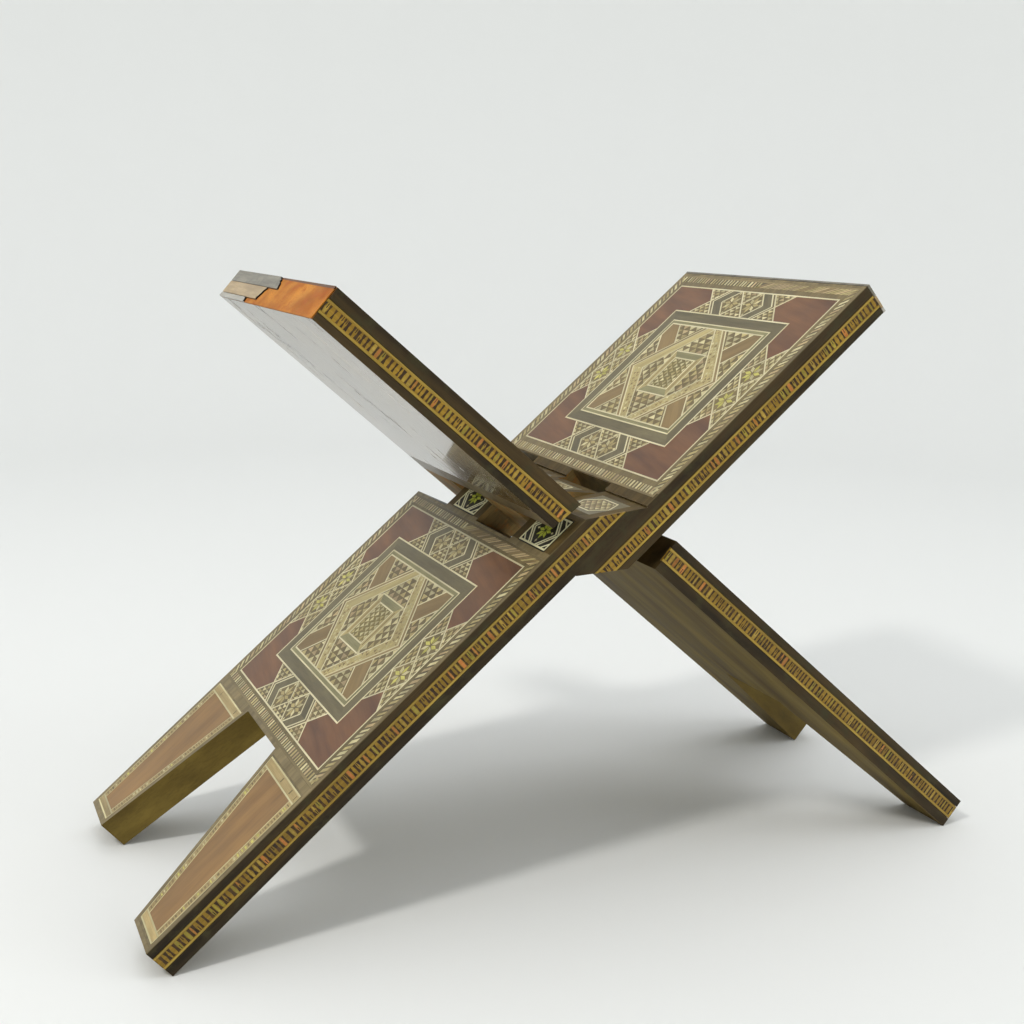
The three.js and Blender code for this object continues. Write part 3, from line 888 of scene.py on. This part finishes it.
def end_strip(board, strip_name, material, broken):
    """A veneer strip on the top end; beyond a broken one's jagged edge the bare wood shows."""
    node = f"{strip_name}_end_strip"
    name = f"{board.name}_{strip_name}_end_veneer"
    points, low, high = board.measure(node)
    depth = low[0] - high[0]
    z0, z1 = low[2], high[2]
    inlay = Inlay(board, (high[0], 0.0, 0.0), (0, 1, 0), (0, 0, 1))
    if not broken:
        inlay.add(box(low[1], z0, high[1], z1), material, depth, 0.0)
        inlay.finish(name, node)
        return
    near = WIDTH / 2 - 0.4
    steps, bite = 8, 1.6  # parts of the jagged edge, and how far each may be eaten back
    at_z0, at_z1 = (max(p[1] for p in points if abs(p[2] - z) < 0.1) for z in (z0, z1))
    edge = []
    for i in range(steps + 1):
        t = i / steps
        edge.append((at_z0 * (1 - t) + at_z1 * t - PAINTED_SHADE_LINE_WIDTH - rng.uniform(0.0, bite),
                     z0 + (z1 - z0) * t))
    for (y_a, z_a), (y_b, z_b) in zip(edge, edge[1:]):
        end_a, end_b = y_a + PAINTED_SHADE_LINE_WIDTH, y_b + PAINTED_SHADE_LINE_WIDTH
        inlay.add([(low[1], z_a), (y_a, z_a), (y_b, z_b), (low[1], z_b)], material, depth, 0.0,
                  own_grain=False)
        # a dark piece along the broken edge: dirt, and painted shade of the step down to the bare wood
        inlay.add([(y_a, z_a), (end_a, z_a), (end_b, z_b), (y_b, z_b)], PAINTED_SHADE_AND_DIRT, depth, -0.05)
        below = 0.3 if z_a == z0 and strip_name != "outer" else 0.0
        inlay.add([(end_a, z_a - below), (near, z_a - below), (near, z_b), (end_b, z_b)],
                  BARE_END, depth, BARE_DEPTH, own_grain=False)
    if strip_name == "inner":
        rim = [(end_b, z1 - 0.9), (near, z1 - 1.4), (near, z1), (end_b, z1)]
        inlay.add(rim, BARE_RIM, depth, BARE_DEPTH + 0.06)
    inlay.finish(name, node)


# ---------------- the carved boards

FINISHES = [WALNUT, WALNUT_EDGE, FACE_WOOD, KNUCKLE_WOOD, UNDERSIDE, UNDERSIDE_WORN, RAW_WOOD,
            JOINT_WOOD, BARE_END]
KNUCKLE_TOP = (-30.0, 28.0)  # the marquetry side is dark wood between these
WORN_REACH = 40.0  # the joint's own surfaces, and worn varnish, end here
SHARP = math.radians(20)  # edges that turn by less than this are not rounded
FLAT = math.radians(1)  # faces that meet at less than this are one face
SOFT_ARRIS = 1.5  # rounding of the long edges, worn by hands
JOINT_ARRIS = 0.15  # rounding of the edges that run across the joint
SEAT_DEPTH = 2.5  # a wall narrower than this belongs to an inlay's seat
HARD_ARRIS = 0.5  # rounding of every other edge


def is_long_edge(edge):
    """An outer edge that runs along the board, between its broad face and its side."""
    p, q = (v.co for v in edge.verts)
    along = abs(p.x - q.x) > 10.0
    on_side = all(abs(abs(c.y) - WIDTH / 2) < 0.1 for c in (p, q))
    on_face = all(abs(abs(c.z) - LAYER) < 0.1 or abs(c.z) < 0.5 for c in (p, q))
    return along and on_side and on_face


def is_seat_wall(face):
    """A narrow wall round the recess that an inlay lies in."""
    return face.calc_area() / max(edge.calc_length() for edge in face.edges) < SEAT_DEPTH


def finish_of(normal, centre):
    """Index in FINISHES of one flat face of the carved wood."""
    on_outer_side = abs(centre.y) > WIDTH / 2 - 0.5
    in_joint = abs(centre.x) < WORN_REACH
    if normal.x > 0.9 and centre.x > UPPER - 3:
        finish = BARE_END
    elif normal.z < -0.9 and centre.z < 1 - LAYER:
        finish = UNDERSIDE_WORN if centre.x > KNUCKLE_TOP[1] else JOINT_WOOD
        if centre.x > WORN_REACH:
            finish = UNDERSIDE
    elif abs(normal.y) > 0.9 and not on_outer_side and in_joint:
        finish = JOINT_WOOD
    elif normal.z < -0.9:
        finish = RAW_WOOD
    elif normal.x < -0.5 and in_joint:
        finish = UNDERSIDE_WORN
    elif normal.z > 0.6:
        finish = KNUCKLE_WOOD if KNUCKLE_TOP[0] < centre.x < KNUCKLE_TOP[1] else FACE_WOOD
    elif centre.x < -NOTCH_REACH and not on_outer_side:
        finish = RAW_WOOD
    else:
        finish = WALNUT
    return FINISHES.index(finish)


def rounded_wood(board):
    """The CAD shape of the board's wood with softened arrises, as a mesh."""
    node = frame["nodes"][f"{board.name}_core"]
    bm = bmesh.new()
    bm.from_mesh(node.data)
    bmesh.ops.transform(bm, matrix=board.to_board, verts=bm.verts)
    bmesh.ops.remove_doubles(bm, verts=bm.verts, dist=0.01)
    bmesh.ops.dissolve_limit(bm, angle_limit=FLAT, verts=bm.verts, edges=bm.edges)
    weight = bm.edges.layers.float.new("bevel_weight_edge")
    for edge in bm.edges:
        if any(is_seat_wall(face) for face in edge.link_faces):
            continue
        if len(edge.link_faces) == 2 and edge.calc_face_angle() > SHARP:
            p, q = (v.co for v in edge.verts)
            in_joint = abs(p.x) < WORN_REACH and abs(p.x - q.x) < 0.1
            radius = SOFT_ARRIS if is_long_edge(edge) else JOINT_ARRIS if in_joint else HARD_ARRIS
            edge[weight] = radius / SOFT_ARRIS
    name = f"{board.name}_blank"
    blank = new_object(name, new_mesh(name, bm, FINISHES))
    rounding = blank.modifiers.new("arrises", "BEVEL")
    rounding.width = SOFT_ARRIS
    rounding.segments = 3
    rounding.limit_method = "WEIGHT"
    rounding.material = FINISHES.index(WALNUT_EDGE)
    evaluated = blank.evaluated_get(bpy.context.evaluated_depsgraph_get())
    rounded = bpy.data.meshes.new_from_object(evaluated)
    bpy.data.objects.remove(blank)
    return rounded


def carved_board(board):
    """The board's wood, with a finish for each of its faces."""
    bm = bmesh.new()
    bm.from_mesh(rounded_wood(board))
    for reach in (*KNUCKLE_TOP, WORN_REACH):
        bmesh.ops.bisect_plane(bm, geom=bm.verts[:] + bm.edges[:] + bm.faces[:],
                               plane_co=(reach, 0, 0), plane_no=(1, 0, 0), dist=1e-4)
    grain = bm.verts.layers.float_vector.new("grain")
    for vert in bm.verts:
        vert[grain] = vert.co
    tone = bm.faces.layers.float.new("tone")
    bm.normal_update()
    for face in bm.faces:
        face[tone] = 0.5
        if face.material_index == FINISHES.index(WALNUT):
            face.material_index = finish_of(face.normal, face.calc_center_median())
    mesh = new_mesh(f"{board.name}_wood", bm, FINISHES)
    mesh.transform(board.to_world)
    piece = new_object(f"{board.name}_wood", mesh)
    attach(piece, board.name)
    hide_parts(f"{board.name}_core")


for board in (Board("board_a", 0.0), Board("board_b", math.pi)):
    carved_board(board)
    for part in ("apron", "book_rest"):
        marquetry_sheet(board, part)
    for side_name in ("near", "far"):
        leg_sheet(board, side_name)
        for part in ("lower", "rest"):
            edge_band(board, side_name, part)
    for place in ("edge", "middle"):
        finger_tile(board, place)
        bevel_tile(board, place)
    for strip_name, material in (("inner", STRIP_GREY), ("middle", STRIP_TAN), ("outer", STRIP_PALE)):
        end_strip(board, strip_name, material, broken=board.name == "board_b")


# ---------------- stage, light and camera

def pale_sweep():
    """A pale floor that curves up into a wall all round."""
    flat, curve, wall = 1.3, 0.7, 2.4
    profile = [(0.0, 0.0), (flat, 0.0)]
    steps = 16
    for i in range(1, steps + 1):
        angle = math.pi / 2 * i / steps
        profile.append((flat + curve * math.sin(angle), curve * (1 - math.cos(angle))))
    profile.append((flat + curve, wall))
    bm = bmesh.new()
    verts = [bm.verts.new((r, 0.0, z)) for r, z in profile]
    edges = [bm.edges.new(pair) for pair in zip(verts, verts[1:])]
    bmesh.ops.spin(bm, geom=verts + edges, axis=(0, 0, 1), cent=(0, 0, 0), steps=64,
                   angle=math.tau, use_duplicate=False)
    bmesh.ops.remove_doubles(bm, verts=bm.verts, dist=1e-5)
    bmesh.ops.recalc_face_normals(bm, faces=bm.faces)
    for face in bm.faces:
        face.smooth = True
    paper = bpy.data.materials.new("pale_paper")
    paper.use_nodes = True
    shader = paper.node_tree.nodes["Principled BSDF"]
    shader.inputs["Base Color"].default_value = (0.79, 0.80, 0.79, 1.0)
    shader.inputs["Roughness"].default_value = 0.8
    shader.inputs["Specular IOR Level"].default_value = 0.2
    new_object("pale_sweep", new_mesh("pale_sweep", bm, [paper]))


def area_light(name, place, target, size, power, colour=(1.0, 1.0, 1.0)):
    lamp = bpy.data.lights.new(name, "AREA")
    lamp.shape = "DISK"
    lamp.size = size
    lamp.energy = power
    lamp.color = colour
    light = new_object(name, lamp)
    light.location = place
    light.rotation_euler = (Vector(target) - Vector(place)).to_track_quat("-Z", "Y").to_euler()


def photo_camera():
    """The camera at the viewing angle: placed by eye point, heading, tilt and a slight roll."""
    lens = bpy.data.cameras.new("camera")
    lens.sensor_width = 36.0
    lens.lens = 48.91
    lens.clip_start = 0.01
    camera = new_object("camera", lens)
    heading, tilt, roll = math.radians(-23.88), math.radians(-11.62), math.radians(0.99)
    camera.location = (-0.2984, -0.6396, 0.3175)
    camera.rotation_euler = (Matrix.Rotation(heading, 3, "Z")
                             @ Matrix.Rotation(math.pi / 2 + tilt, 3, "X")
                             @ Matrix.Rotation(roll, 3, "Z")).to_euler()
    bpy.context.scene.camera = camera


pale_sweep()
area_light("key", (-1.2, -0.62, 1.55), (0.0, 0.0, 0.12), 0.22, 13.5, (1.0, 0.98, 0.94))
area_light("overhead", (-0.1, 0.4, 2.2), (0.0, 0.1, 0.0), 2.6, 12.0, (1.0, 1.0, 0.99))
area_light("fill", (1.4, -1.0, 1.1), (0.1, 0.0, 0.15), 1.0, 5.0, (0.98, 0.99, 1.0))
world = bpy.data.worlds.new("soft_daylight")
world.use_nodes = True
sky = world.node_tree.nodes["Background"].inputs
sky["Color"].default_value = (0.965, 0.98, 1.0, 1.0)
sky["Strength"].default_value = 0.71
bpy.context.scene.world = world
bpy.context.scene.view_settings.view_transform = "Standard"
photo_camera()
